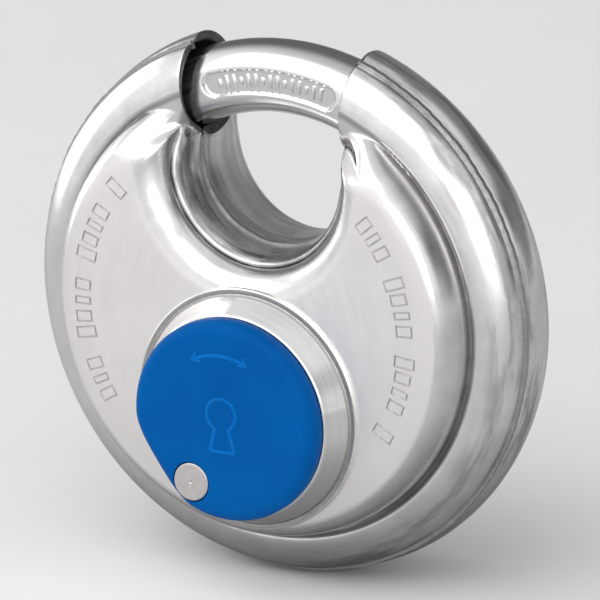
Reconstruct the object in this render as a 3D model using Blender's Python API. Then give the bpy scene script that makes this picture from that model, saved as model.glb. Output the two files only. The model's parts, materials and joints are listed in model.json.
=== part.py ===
"""A disc padlock with a swivelling keyway cover, modelled as an assembly of separate pieces.

Every length below is in millimetres and becomes metres in mm(). The shapes are drawn about the middle
of the disc: X to the right, Y from the front face to the back, Z up. The parent empty "padlock" then
moves them so that the origin is the centre of the flat back face.
"""

import math

import bpy
import bmesh
from mathutils import Matrix, Vector

# ---- driving dimensions, in millimetres -------------------------------------------------------
DISC_R = 30.0            # outer radius of the disc
FACE = 10.0              # from the middle plane to either flat face
WALL = 0.8               # sheet thickness of the two shells
SEAM_Y = -2.1            # where the front shell meets the rear shell
SEAM_GAP = 0.3

RIM_R = 24.7             # middle of the tubular rim
RIM_HALF_WIDTH = DISC_R - RIM_R
RIM_HALF_DEPTH = 5.8
CREASE_R = 24.5          # where the face's edge meets the rim
FILLET = 2.4             # how far the rounding of the face reaches

HOLE_Z = 15.8            # centre of the hole that the shackle crosses
HOLE_R = 9.0
HOLE_CREASE_R = 10.6
HOLE_CREASE_DEPTH = 7.2
RIM_GROOVE = (1.0, 0.75) # width and depth of the groove outside the crease
BEAD_GROOVE = (0.7, 0.5) # the same round the hole
CORNER_BLEND = 8.0       # how softly the face ends between the rim and the hole
CORNER_KEEP = 0.5        # keeps the blend of rim and hole heights finite where the face narrows to nothing
RIM_GROOVE_FADE = (29.0, 9.0)    # degrees from the top where that groove begins, and over which it deepens
BEAD_GROOVE_FADE = (-3.0, 5.0)   # height over the hole's centre where its groove begins to fade, and how fast
HORN_FADE = (-2.0, 6.0)          # the same for the bead round the hole, as it joins the horns
HORN_BEAD_DROP = 0.6     # how far below the rim the bead ends at the horns
GAP_HALF_WIDTH = 10.1    # half the opening between the two ends of the rim, at its top
HORN_OVERRUN = 1.2       # how far the inner form runs past the ends of the rim, so that they come out open
HORN_TIP_OVERRUN = 1.0
LINE_BUNCHING = 0.3      # how much the skin's lines crowd together towards the horns
LEAST_STEP, LEAST_FACE = 0.2, 0.8    # least distances along a line, where the face is narrow
FILLET_SHARE = 2.4       # a fillet takes at most one part in this of the face's width

SHACKLE_R = 24.45
SHACKLE_ROD_R = 3.9
SHACKLE_NOSE = -38.0     # degrees clockwise from the top
NOSE_ROUNDING = ((0.0, 0.55), (1.0, 0.85), (3.0, 1.0))    # degrees from the nose, and share of full radius
SHACKLE_TAIL = 198.6
SHACKLE_TURN = 60.0
PANEL_HALF_ARC = 19.0
PANEL_R = (23.25, 26.05)
PANEL_DEPTH = 0.6

KEY_Z = -9.5             # the lock cylinder's axis
COLLAR_R = 12.8
COLLAR_TOP_R = 11.2
COLLAR_TOP = -13.3
COLLAR_BORE = 5.9
COLLAR_CHAMFER = (0.1, 0.5)
SPIGOT_R = 11.4
COLLAR_FIT = 0.1         # between the spigot and the hole it stands in
FACE_DRILL = 2.0         # how deep that hole is cut into the front shell
PLUG_R = 5.2
PLUG_FRONT, PLUG_BACK = -12.9, -0.05
PLUG_CHAMFER = 0.3
TAIL_R, TAIL_GROOVE_R = 3.0, 2.3
TAIL_STEPS = (0.05, 0.75, 1.2)   # start and end of the ring's groove and end of the tail, behind the pinion
RING_R = 3.9
KEYWAY = ((-0.7, -3.9, 0.7, 3.0), (-0.72, -1.6, 1.3, -0.9))    # two slots as (x, z, x, z) from the axis
KEYWAY_END = -0.7
RUNNING_GAP = 0.05

COVER_R = 11.0
COVER_BACK = -13.4
COVER_FRONT = -15.8
COVER_EDGE = 0.8
COVER_BACK_EDGE = 0.15
COVER_FLAT = 10.2        # distance from the cover's centre to the flat on its edge
FLAT_TOWARDS = 236.0     # the way that flat faces, in degrees clockwise from the top
RIVET_X, RIVET_Z = -4.0, -16.5
RIVET_R = 1.2
RIVET_HEAD_R, RIVET_HEAD_DEPTH = 2.1, 0.8
RIVET_CHAMFER = 0.1
RIVET_SEAT_GAP = 0.1
RIVET_FOOT = (0.7, 0.1, 0.4)     # the peened end: how much wider, how far behind the shell, how thick

MODULE = 1.0
PINION_TEETH = 24
RACK_TEETH = 43          # the number a full ring of the shackle's teeth would have
GEAR_Y = (0.4, 2.6)
FLANK = 20.0             # pressure angle, in degrees
ADDENDUM, DEDENDUM = 0.9, 1.2
RACK_DEPTH = 1.25        # how deep the shackle's tooth spaces go, outside their pitch circle
RACK_CLEAR = 3.0         # how far inside it they start, well clear of the rod
RACK_MARGIN = 0.3        # how much wider than the pinion they are, at either side
BACKLASH = 0.3
PINION_REACH = 32.0      # how far round the disc the pinion reaches the rod, either side of the bottom

PIN_R = 0.8
PIN_BORE_R = 0.88
PIN_YS = (-7.6, -5.4, -3.2, -1.0)
KEY_PIN_LENGTHS = (3.4, 2.6, 3.9, 3.0)
DRIVER_LENGTH = 2.2
PIN_END = (0.5, 0.17)    # radius of a pin's flat end, and how far its edge is bevelled
PIN_TIP = (0.3, 0.5)     # the same where a key pin rests on the key
SHEAR_GAP = 0.03
CHAMBER_TOP = 10.6       # above the plug's axis
SPRING_WIRE = 0.11
HOUSING_R, TOWER_HALF_WIDTH = 7.1, 2.6
HOUSING_Y = (-8.3, -0.1)
STRIP_DEPTH = 0.5

FRONT_PLATE_R, REAR_PLATE_R = 19.3, 20.4
FRONT_PLATE_Y = (-9.0, -8.4)
REAR_PLATE_Y = (4.2, 5.0)
FRONT_PLATE_CLEAR, REAR_PLATE_CLEAR = 5.4, 2.2    # how much wider than the shackle hole they are cut
PLATE_BORE_GAP = 0.3
POST_X, POST_Z, POST_R = 15.6, -3.0, 1.6
POST_GAP = 0.1

TURN = 2 * math.pi
BEYOND = 40.0            # further than anything reaches, for cutting
SMOOTH_UP_TO = 35        # degrees between faces that still shade as one surface


def mm(*values):
    """Millimetres as a Vector in metres."""
    return Vector(v * 0.001 for v in values)


# ---- scene and helpers ------------------------------------------------------------------------
for old in list(bpy.data.objects):
    bpy.data.objects.remove(old)


def empty(name, place=(0, 0, 0), parent=None):
    """A named pivot; place is in millimetres from the parent."""
    made = bpy.data.objects.new(name, None)
    bpy.context.scene.collection.objects.link(made)
    made.location = mm(*place)
    made.parent = parent
    return made


MATERIALS = {}


def material(name, colour, roughness, metallic):
    made = bpy.data.materials.new(name)
    made.use_nodes = True
    shader = made.node_tree.nodes["Principled BSDF"]
    shader.inputs["Base Color"].default_value = (*colour, 1)
    shader.inputs["Roughness"].default_value = roughness
    shader.inputs["Metallic"].default_value = metallic
    MATERIALS[name] = made


material("stainless", (0.74, 0.73, 0.72), 0.22, 1.0)
material("hardened_steel", (0.60, 0.60, 0.60), 0.25, 1.0)
material("zinc", (0.46, 0.47, 0.48), 0.5, 1.0)
material("brass", (0.78, 0.60, 0.28), 0.3, 1.0)
material("spring_steel", (0.55, 0.55, 0.55), 0.35, 1.0)
material("blue_plastic", (0.0, 0.12, 0.42), 0.4, 0.0)


def piece(name, bm, finish, parent):
    """An object from a bmesh whose coordinates are in millimetres."""
    bmesh.ops.scale(bm, vec=(0.001, 0.001, 0.001), verts=bm.verts)
    bmesh.ops.recalc_face_normals(bm, faces=bm.faces)
    mesh = bpy.data.meshes.new(name)
    bm.to_mesh(mesh)
    bm.free()
    mesh.materials.append(MATERIALS[finish])
    made = bpy.data.objects.new(name, mesh)
    bpy.context.scene.collection.objects.link(made)
    made.parent = parent
    mesh.shade_smooth()
    mesh.set_sharp_from_angle(angle=math.radians(SMOOTH_UP_TO))
    return made


def combine(target, tool, operation):
    """Applies a Boolean of tool to target, and removes the tool."""
    tool.parent = target.parent
    step = target.modifiers.new("step", "BOOLEAN")
    step.operation = operation
    step.solver = "EXACT"
    step.object = tool
    bpy.context.view_layer.update()
    graph = bpy.context.evaluated_depsgraph_get()
    result = bpy.data.meshes.new_from_object(target.evaluated_get(graph))
    target.modifiers.clear()
    target.data = result
    bpy.data.objects.remove(tool)
    return target


def cut(target, tool):
    return combine(target, tool, "DIFFERENCE")


def keep(target, tool):
    return combine(target, tool, "INTERSECT")


def turned(profile, centre=(0, 0), steps=48):
    """A solid of revolution about the Y direction through centre (x, z), from a closed loop of (r, y)."""
    bm = bmesh.new()
    rings = []
    for r, y in profile:
        if r < 1e-6:
            rings.append([bm.verts.new((centre[0], y, centre[1]))])
            continue
        ring = []
        for i in range(steps):
            a = TURN * i / steps
            ring.append(bm.verts.new((centre[0] + r * math.cos(a), y, centre[1] + r * math.sin(a))))
        rings.append(ring)
    for ring, other in zip(rings, rings[1:] + rings[:1]):
        if len(ring) == 1 and len(other) == 1:
            continue
        for i in range(steps):
            j = (i + 1) % steps
            corners = [ring[i % len(ring)], ring[j % len(ring)]]
            corners += [other[j % len(other)], other[i % len(other)]]
            bm.faces.new(list(dict.fromkeys(corners)))
    return bm


def prism(outline, low, high):
    """An outline of (x, z) points, extruded along Y from low to high."""
    bm = bmesh.new()
    base = bm.faces.new([bm.verts.new((x, low, z)) for x, z in outline])
    grown = bmesh.ops.extrude_face_region(bm, geom=[base])
    moved = [v for v in grown["geom"] if isinstance(v, bmesh.types.BMVert)]
    bmesh.ops.translate(bm, vec=(0, high - low, 0), verts=moved)
    return bm


def block(low, high):
    """A box from its lowest to its highest corner."""
    outline = [(low[0], low[2]), (high[0], low[2]), (high[0], high[2]), (low[0], high[2])]
    return prism(outline, low[1], high[1])


def rod(radius, low, high, centre, steps=24):
    """A cylinder along Y."""
    outline = []
    for i in range(steps):
        a = TURN * i / steps
        outline.append((centre[0] + radius * math.cos(a), centre[1] + radius * math.sin(a)))
    return prism(outline, low, high)


def upright(profile, centre, steps=12):
    """A solid of revolution about the Z direction through centre (x, y). profile is a loop of (r, z)."""
    bm = turned(profile, (0, 0), steps)
    bmesh.ops.rotate(bm, cent=(0, 0, 0), matrix=Matrix.Rotation(math.radians(90), 3, "X"), verts=bm.verts)
    bmesh.ops.translate(bm, vec=(centre[0], centre[1], 0), verts=bm.verts)
    return bm


def clockwise(angle):
    """The unit (x, z) direction at this many degrees clockwise from the top, seen from the front."""
    a = math.radians(angle)
    return math.sin(a), math.cos(a)


def ring_sector(inner, outer, start, end, steps):
    """Outline of a flat ring sector between two angles, in degrees clockwise from the top."""
    angles = [start + (end - start) * i / steps for i in range(steps + 1)]
    far = [(outer * clockwise(a)[0], outer * clockwise(a)[1]) for a in angles]
    near = [(inner * clockwise(a)[0], inner * clockwise(a)[1]) for a in reversed(angles)]
    return far + near


# ---- the pressed skin of the disc -------------------------------------------------------------
def soft_min(a, b, reach):
    return min(a, b) - max(reach - abs(a - b), 0.0) ** 2 / (4 * reach)


def ease(x):
    x = min(1.0, max(0.0, x))
    return x * x * (3 - 2 * x)


def quarter(x):
    """Rises from 0 at 0 to 1 at 1 like a quarter of an ellipse."""
    x = min(1.0, max(0.0, x))
    return math.sqrt(1 - (1 - x) ** 2)


def skin_height(x, z, inset):
    """Distance from the middle plane to the skin over (x, z). inset shrinks the whole form by that much."""
    r = math.hypot(x, z)
    d = math.hypot(x, z - HOLE_Z)
    across = (r - RIM_R) / (RIM_HALF_WIDTH - inset)
    rim = (RIM_HALF_DEPTH - inset) * math.sqrt(max(0.0, 1 - across * across))
    dip = 1 - quarter((r - CREASE_R + inset) / RIM_GROOVE[0])
    from_top = math.degrees(math.atan2(abs(x), z))
    rim -= RIM_GROOVE[1] * dip * ease((from_top - RIM_GROOVE_FADE[0]) / RIM_GROOVE_FADE[1])
    if r >= CREASE_R - inset:
        return rim
    from_rim = CREASE_R - inset - r
    from_hole = d - HOLE_CREASE_R - inset
    share = from_rim / (from_rim + max(from_hole, 0.0) + CORNER_KEEP)
    near_horn = ease((z - HOLE_Z - HORN_FADE[0]) / HORN_FADE[1])
    bulge = HOLE_CREASE_DEPTH + (RIM_HALF_DEPTH - HORN_BEAD_DROP - HOLE_CREASE_DEPTH) * near_horn
    bulge = RIM_HALF_DEPTH + (bulge - RIM_HALF_DEPTH) * share - inset
    hole_wall = bulge * quarter((d - HOLE_R - inset) / (HOLE_CREASE_R - HOLE_R))
    dip = 1 - quarter((HOLE_CREASE_R + inset - d) / BEAD_GROOVE[0])
    hole_wall -= BEAD_GROOVE[1] * dip * (1 - ease((z - HOLE_Z - BEAD_GROOVE_FADE[0]) / BEAD_GROOVE_FADE[1]))
    base = max(rim, hole_wall)
    inside = soft_min(from_rim, from_hole, CORNER_BLEND)
    return base + (FACE - inset - base) * quarter(inside / FILLET)


def line_crossings(start, end, centre_z, radius):
    """Where a line first and last meets a circle about (0, centre_z), as distances from its start."""
    length = math.dist(start, end)
    ux, uz = (end[0] - start[0]) / length, (end[1] - start[1]) / length
    ox, oz = start[0], start[1] - centre_z
    b = ox * ux + oz * uz
    root = math.sqrt(max(0.0, b * b - ox * ox - oz * oz + radius * radius))
    return -b - root, -b + root


def skin_lines(inset, lines, rim_steps, face_steps, hole_steps):
    """Plan points (x, z) of the skin: one list for each line across it, from the rim to the hole."""
    outer_r, inner_r = DISC_R - inset, HOLE_R + inset
    tube_r = RIM_R - RIM_HALF_WIDTH + inset
    overrun = HORN_OVERRUN if inset else 0.0
    half_gap = GAP_HALF_WIDTH - overrun
    end_z = (tube_r**2 - inner_r**2 + HOLE_Z**2) / (2 * HOLE_Z)
    end_x = math.sqrt(tube_r**2 - end_z**2) - overrun
    hole_start = math.degrees(math.atan2(end_x, end_z - HOLE_Z))
    outer_start = math.degrees(math.asin(half_gap / outer_r))
    made = []
    for i in range(lines + 1):
        share = i / lines
        share -= LINE_BUNCHING * math.sin(TURN * share) / TURN
        a = outer_start + (360 - 2 * outer_start) * share
        b = hole_start + (360 - 2 * hole_start) * share
        start = (outer_r * clockwise(a)[0], outer_r * clockwise(a)[1])
        end = (inner_r * clockwise(b)[0], HOLE_Z + inner_r * clockwise(b)[1])
        if inset and i in (0, lines):
            tip_x = end_x - HORN_TIP_OVERRUN
            end = (math.copysign(tip_x, end[0]), math.sqrt(tube_r**2 - tip_x**2))
        length = math.dist(start, end)
        across = []
        for k in range(1, rim_steps + 1):
            radius = RIM_R + (RIM_HALF_WIDTH - inset) * math.cos(math.radians(90 * k / rim_steps))
            across.append(line_crossings(start, end, 0, min(radius, outer_r))[0])
        crease = max(line_crossings(start, end, 0, CREASE_R - inset)[0], across[-1] + LEAST_STEP)
        across += [line_crossings(start, end, 0, CREASE_R - inset + RIM_GROOVE[0] / 2)[0], crease]
        across.sort()
        far = line_crossings(start, end, HOLE_Z, HOLE_CREASE_R + inset)[0]
        far = min(max(far, crease + LEAST_FACE), length - LEAST_FACE)
        reach = min(FILLET, (far - crease) / FILLET_SHARE)
        fillet = [reach * (1 - math.cos(math.radians(90 * k / face_steps))) for k in range(1, face_steps + 1)]
        across += [crease + s for s in fillet] + [far - s for s in reversed(fillet)] + [far]
        for k in range(1, hole_steps):
            across.append(far + (length - far) * math.sin(math.radians(90 * k / hole_steps)))
        across = [0.0] + across + [length]
        made.append([tuple(start[n] + (end[n] - start[n]) * s / length for n in (0, 1)) for s in across])
    return made


def disc_form(inset, lines=44, rim_steps=4, face_steps=2, hole_steps=2):
    """The whole closed form of the disc, front and back, shrunk by inset."""
    bm = bmesh.new()
    plan = skin_lines(inset, lines, rim_steps, face_steps, hole_steps)
    last = len(plan[0]) - 1
    front, back = [], []
    for points in plan:
        heights = [0.0 if k in (0, last) else skin_height(x, z, inset) for k, (x, z) in enumerate(points)]
        front.append([bm.verts.new((x, -h, z)) for (x, z), h in zip(points, heights)])
        middle = [bm.verts.new((x, h, z)) for (x, z), h in list(zip(points, heights))[1:-1]]
        back.append([front[-1][0], *middle, front[-1][-1]])
    for rows in (front, back):
        for row, other in zip(rows, rows[1:]):
            for k in range(last):
                bm.faces.new([row[k], row[k + 1], other[k + 1], other[k]])
    for i in (0, -1):
        bm.faces.new(front[i] + back[i][-2:0:-1])
    bmesh.ops.triangulate(bm, faces=bm.faces)
    return bm


def shell(name, low, high, parent):
    """The pressed skin between two Y limits, open where the shackle enters and leaves."""
    made = piece(name, disc_form(0), "stainless", parent)
    inner = piece("inner", disc_form(WALL), "stainless", None)
    side = piece("side", block((-BEYOND, low, -BEYOND), (BEYOND, high, BEYOND)), "stainless", None)
    keep(made, side)
    return cut(made, inner)


# ---- the shackle ------------------------------------------------------------------------------
def shackle_rod(steps=60, sides=14):
    """A round rod bent to an arc, with a rounded nose."""
    bm = bmesh.new()
    rings = []
    stops = [(SHACKLE_NOSE + along, swell) for along, swell in NOSE_ROUNDING]
    full = stops[-1][0]
    stops += [(full + (SHACKLE_TAIL - full) * i / steps, 1.0) for i in range(1, steps + 1)]
    for angle, swell in stops:
        x, z = clockwise(angle)
        ring = []
        for k in range(sides):
            turn = TURN * (k + 0.5) / sides
            radius = SHACKLE_R + SHACKLE_ROD_R * swell * math.cos(turn)
            ring.append(bm.verts.new((radius * x, SHACKLE_ROD_R * swell * math.sin(turn), radius * z)))
        rings.append(ring)
    for ring, other in zip(rings, rings[1:]):
        for k in range(sides):
            j = (k + 1) % sides
            bm.faces.new([ring[k], ring[j], other[j], other[k]])
    bm.faces.new(rings[0])
    bm.faces.new(rings[-1])
    return bm


def tooth_outline(centre_z, pitch_r, angle, tip, root, half_at_pitch):
    """A straight-sided tooth or tooth space about (0, centre_z), pointing away from it."""
    x, z = clockwise(angle)
    flank = math.tan(math.radians(FLANK))
    points = []
    for radius, side in ((root, -1), (tip, -1), (tip, 1), (root, 1)):
        half = side * (half_at_pitch - (radius - pitch_r) * flank)
        points.append((radius * x + half * z, centre_z + radius * z - half * x))
    return points


def rack_spaces():
    """The gaps between the teeth on the inner side of the shackle's tail."""
    bm = bmesh.new()
    pitch_r = MODULE * RACK_TEETH / 2
    step = 360 / RACK_TEETH
    first = math.ceil((SHACKLE_TURN + PINION_REACH) / step)
    for i in range(-first, first):
        angle = 180 + (i + 0.5) * step
        if angle > SHACKLE_TAIL + step / 2:
            break
        half = MODULE * math.pi / 4 + BACKLASH / 4
        outline = tooth_outline(0, pitch_r, angle, pitch_r + RACK_DEPTH, pitch_r - RACK_CLEAR, half)
        part_of = prism(outline, GEAR_Y[0] - RACK_MARGIN, GEAR_Y[1] + RACK_MARGIN)
        copied = bpy.data.meshes.new("space")
        part_of.to_mesh(copied)
        part_of.free()
        bm.from_mesh(copied)
        bpy.data.meshes.remove(copied)
    return bm


def pinion_outline():
    pitch_r = MODULE * PINION_TEETH / 2
    step = 360 / PINION_TEETH
    points = []
    half = MODULE * math.pi / 4 - BACKLASH / 4
    for i in range(PINION_TEETH):
        angle = 180 + (i + 0.5) * step
        points += tooth_outline(KEY_Z, pitch_r, angle, pitch_r + ADDENDUM, pitch_r - DEDENDUM, half)
    return points


def spring_coil(centre_y, low, high, radius, turns=5, steps_per_turn=8, sides=4):
    """A closed coil of round wire about the Z direction."""
    bm = bmesh.new()
    steps = turns * steps_per_turn
    rings = []
    for i in range(steps + 1):
        a = TURN * i * turns / steps
        z = low + SPRING_WIRE + (high - low - 2 * SPRING_WIRE) * i / steps
        ring = []
        for k in range(sides):
            b = TURN * k / sides
            r = radius + SPRING_WIRE * math.cos(b)
            up = SPRING_WIRE * math.sin(b)
            ring.append(bm.verts.new((r * math.cos(a), centre_y + r * math.sin(a), z + up)))
        rings.append(ring)
    for ring, other in zip(rings, rings[1:]):
        for k in range(sides):
            bm.faces.new([ring[k], ring[(k + 1) % sides], other[(k + 1) % sides], other[k]])
    bm.faces.new(rings[0])
    bm.faces.new(rings[-1])
    return bm


# ---- the assembly -----------------------------------------------------------------------------
padlock = empty("padlock", (0, -FACE, 0))


def drill(target, radius, centre, deepest, steps=32):
    """Bores target from its front, down to the Y of deepest."""
    hole = rod(radius, -BEYOND, deepest, centre, steps)
    cut(target, piece("drill", hole, "stainless", None))


AXIS = (0, KEY_Z)
RIVET = (RIVET_X, RIVET_Z)
INSIDE = -FACE + WALL    # the inner face of the front shell's flat
SLACK = 0.02             # between pieces that are pressed together

# the two shells, and the shackle that runs round inside their rim
front_shell = shell("front_shell", -BEYOND, SEAM_Y - SEAM_GAP / 2, padlock)
drill(front_shell, SPIGOT_R + COLLAR_FIT, AXIS, -FACE + FACE_DRILL, 48)
shell("rear_shell", SEAM_Y + SEAM_GAP / 2, BEYOND, padlock)

shackle = piece("shackle", shackle_rod(), "hardened_steel", padlock)
panel = prism(ring_sector(*PANEL_R, -PANEL_HALF_ARC, PANEL_HALF_ARC, 20), -FACE, -SHACKLE_ROD_R + PANEL_DEPTH)
cut(shackle, piece("panel", panel, "stainless", None))
cut(shackle, piece("teeth", rack_spaces(), "stainless", None))

# the collar round the keyway, its plastic cover, and the rivet that the cover turns on
collar = turned([
    (COLLAR_BORE, COLLAR_TOP), (COLLAR_TOP_R, COLLAR_TOP),
    (COLLAR_R - COLLAR_CHAMFER[0], -FACE - COLLAR_CHAMFER[1]), (COLLAR_R, -FACE - SLACK),
    (SPIGOT_R, -FACE - SLACK), (SPIGOT_R, INSIDE), (COLLAR_BORE, INSIDE),
], AXIS)
collar = piece("keyway_collar", collar, "stainless", padlock)
drill(collar, RIVET_R + RUNNING_GAP, RIVET, 0, 16)

cover = turned([
    (0, COVER_BACK), (COVER_R - COVER_BACK_EDGE, COVER_BACK), (COVER_R, COVER_BACK - COVER_BACK_EDGE),
    (COVER_R, COVER_FRONT + COVER_EDGE), (COVER_R - COVER_EDGE * 0.3, COVER_FRONT + COVER_EDGE * 0.3),
    (COVER_R - COVER_EDGE, COVER_FRONT), (0, COVER_FRONT),
], AXIS, 64)
cover = piece("keyway_cover", cover, "blue_plastic", padlock)
flat_x, flat_z = clockwise(FLAT_TOWARDS)
outline = []
past = 2 * COVER_R
for along, reach in ((-past, COVER_FLAT), (past, COVER_FLAT), (past, past), (-past, past)):
    outline.append((flat_x * reach - flat_z * along, KEY_Z + flat_z * reach + flat_x * along))
cut(cover, piece("flat", prism(outline, -BEYOND, 0), "stainless", None))
drill(cover, RIVET_R + RUNNING_GAP, RIVET, 0, 16)
drill(cover, RIVET_HEAD_R + RIVET_SEAT_GAP, RIVET, COVER_FRONT + RIVET_HEAD_DEPTH + RUNNING_GAP)

under_head = COVER_FRONT + RIVET_HEAD_DEPTH
foot_r, foot_y = RIVET_R + RIVET_FOOT[0], INSIDE + RIVET_FOOT[1]
piece("cover_rivet", turned([
    (0, COVER_FRONT), (RIVET_HEAD_R - RIVET_CHAMFER, COVER_FRONT),
    (RIVET_HEAD_R, COVER_FRONT + RIVET_CHAMFER),
    (RIVET_HEAD_R, under_head), (RIVET_R, under_head), (RIVET_R, foot_y),
    (foot_r, foot_y), (foot_r, foot_y + RIVET_FOOT[2]), (0, foot_y + RIVET_FOOT[2]),
], RIVET, 32), "stainless", padlock)

# the lock cylinder: a housing with a tower for the pins, closed by a strip
SHEAR_Z = KEY_Z + PLUG_R
TOP_Z = KEY_Z + CHAMBER_TOP
first = math.degrees(math.asin(TOWER_HALF_WIDTH / HOUSING_R))
outline = [(TOWER_HALF_WIDTH, TOP_Z)]
for i in range(37):
    x, z = clockwise(first + (360 - 2 * first) * i / 36)
    outline.append((HOUSING_R * x, KEY_Z + HOUSING_R * z))
outline.append((-TOWER_HALF_WIDTH, TOP_Z))
housing = piece("cylinder_housing", prism(outline, *HOUSING_Y), "zinc", padlock)
drill(housing, PLUG_R + RUNNING_GAP, AXIS, GEAR_Y[1], 40)
for y in PIN_YS:
    bore = [(0, KEY_Z + 1), (PIN_BORE_R, KEY_Z + 1), (PIN_BORE_R, TOP_Z + 1), (0, TOP_Z + 1)]
    cut(housing, piece("bore", upright(bore, (0, y)), "zinc", None))
strip_low = (-TOWER_HALF_WIDTH, HOUSING_Y[0], TOP_Z + SLACK)
strip_high = (TOWER_HALF_WIDTH, HOUSING_Y[1], TOP_Z + STRIP_DEPTH)
piece("chamber_strip", block(strip_low, strip_high), "brass", padlock)

# the plug, with a stepped tail for the pinion and a groove for the ring that keeps it in
groove_y, ring_y, tail_y = (GEAR_Y[1] + along for along in TAIL_STEPS)
plug = turned([
    (0, PLUG_FRONT), (PLUG_R - PLUG_CHAMFER, PLUG_FRONT), (PLUG_R, PLUG_FRONT + PLUG_CHAMFER),
    (PLUG_R, PLUG_BACK), (TAIL_R, PLUG_BACK), (TAIL_R, groove_y), (TAIL_GROOVE_R, groove_y),
    (TAIL_GROOVE_R, ring_y), (TAIL_R, ring_y), (TAIL_R, tail_y), (0, tail_y),
], AXIS, 40)
plug = piece("cylinder_plug", plug, "brass", padlock)
for low_x, low_z, high_x, high_z in KEYWAY:
    slot = block((low_x, -BEYOND, KEY_Z + low_z), (high_x, KEYWAY_END, KEY_Z + high_z))
    cut(plug, piece("key_slot", slot, "brass", None))
for y in PIN_YS:
    bore = [(0, KEY_Z), (PIN_BORE_R, KEY_Z), (PIN_BORE_R, KEY_Z + 8), (0, KEY_Z + 8)]
    cut(plug, piece("bore", upright(bore, (0, y)), "brass", None))

pinion = piece("drive_pinion", prism(pinion_outline(), *GEAR_Y), "hardened_steel", padlock)
drill(pinion, TAIL_R + SLACK, AXIS, BEYOND, 40)
ring_bore, ring_low, ring_high = TAIL_GROOVE_R + RUNNING_GAP, groove_y + RUNNING_GAP, ring_y - RUNNING_GAP
ring = [(ring_bore, ring_low), (RING_R, ring_low), (RING_R, ring_high), (ring_bore, ring_high)]
piece("plug_ring", turned(ring, AXIS, 32), "stainless", padlock)

# four pin stacks, standing at the shear line
for number, (y, length) in enumerate(zip(PIN_YS, KEY_PIN_LENGTHS), 1):
    high = SHEAR_Z - SHEAR_GAP
    low = high - length
    key_pin = [(0, low), (PIN_TIP[0], low), (PIN_R, low + PIN_TIP[1]), (PIN_R, high - PIN_END[1]),
               (PIN_END[0], high), (0, high)]
    piece(f"key_pin_{number}", upright(key_pin, (0, y)), "brass", padlock)
    low = SHEAR_Z + SHEAR_GAP
    high = low + DRIVER_LENGTH
    driver = [(0, low), (PIN_END[0], low), (PIN_R, low + PIN_END[1]), (PIN_R, high), (0, high)]
    piece(f"driver_pin_{number}", upright(driver, (0, y)), "brass", padlock)
    coil = spring_coil(y, high + SHEAR_GAP, TOP_Z - SHEAR_GAP, PIN_R - SPRING_WIRE)
    piece(f"driver_spring_{number}", coil, "spring_steel", padlock)

# plates and posts that hold the cylinder between the two shells
plate = piece("front_plate", rod(FRONT_PLATE_R, *FRONT_PLATE_Y, (0, 0), 64), "zinc", padlock)
drill(plate, HOLE_CREASE_R + FRONT_PLATE_CLEAR, (0, HOLE_Z), 0, 48)
drill(plate, PLUG_R + PLATE_BORE_GAP, AXIS, 0, 40)
drill(plate, foot_r + PLATE_BORE_GAP, RIVET, 0, 20)
plate = piece("rear_plate", rod(REAR_PLATE_R, *REAR_PLATE_Y, (0, 0), 64), "zinc", padlock)
drill(plate, HOLE_CREASE_R + REAR_PLATE_CLEAR, (0, HOLE_Z), BEYOND, 48)
for name, x in (("left_post", -POST_X), ("right_post", POST_X)):
    post = rod(POST_R, FRONT_PLATE_Y[1] + POST_GAP, REAR_PLATE_Y[0] - POST_GAP, (x, POST_Z), 20)
    piece(name, post, "stainless", padlock)
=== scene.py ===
"""The looks of a disc padlock: pressed steel shells, a bent shackle and a blue swivelling keyway cover.

Lengths are in millimetres about the middle of the disc, as in the CAD model, until finish_mesh() turns them
into metres in the row frame, whose origin is the centre of the flat back face.
"""
import json
import math

import bpy
import bmesh
import numpy as np
from mathutils import Matrix, Vector

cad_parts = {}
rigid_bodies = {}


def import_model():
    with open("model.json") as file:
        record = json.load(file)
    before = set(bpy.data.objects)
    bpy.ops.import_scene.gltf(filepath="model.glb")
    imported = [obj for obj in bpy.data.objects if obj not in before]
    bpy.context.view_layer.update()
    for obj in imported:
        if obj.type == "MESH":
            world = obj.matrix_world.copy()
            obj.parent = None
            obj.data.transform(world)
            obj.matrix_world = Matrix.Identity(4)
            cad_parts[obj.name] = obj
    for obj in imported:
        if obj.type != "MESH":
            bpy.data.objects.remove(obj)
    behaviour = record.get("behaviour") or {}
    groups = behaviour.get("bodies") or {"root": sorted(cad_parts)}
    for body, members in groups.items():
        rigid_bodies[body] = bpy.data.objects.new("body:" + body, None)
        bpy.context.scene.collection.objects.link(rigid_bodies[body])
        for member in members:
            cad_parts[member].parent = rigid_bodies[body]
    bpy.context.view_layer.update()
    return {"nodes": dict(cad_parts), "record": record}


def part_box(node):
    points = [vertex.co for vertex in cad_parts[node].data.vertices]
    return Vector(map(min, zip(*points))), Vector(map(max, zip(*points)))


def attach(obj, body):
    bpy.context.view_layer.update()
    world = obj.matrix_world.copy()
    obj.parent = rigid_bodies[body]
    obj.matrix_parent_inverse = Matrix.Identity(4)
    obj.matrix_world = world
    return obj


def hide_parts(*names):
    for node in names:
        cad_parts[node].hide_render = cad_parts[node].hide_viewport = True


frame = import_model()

MM = 0.001
TURN = 2 * math.pi


def span(node, axis, end):
    """One limit of a CAD node in millimetres, in the row frame. end is 0 for low, 1 for high."""
    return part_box(node)[end][axis] / MM


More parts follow.
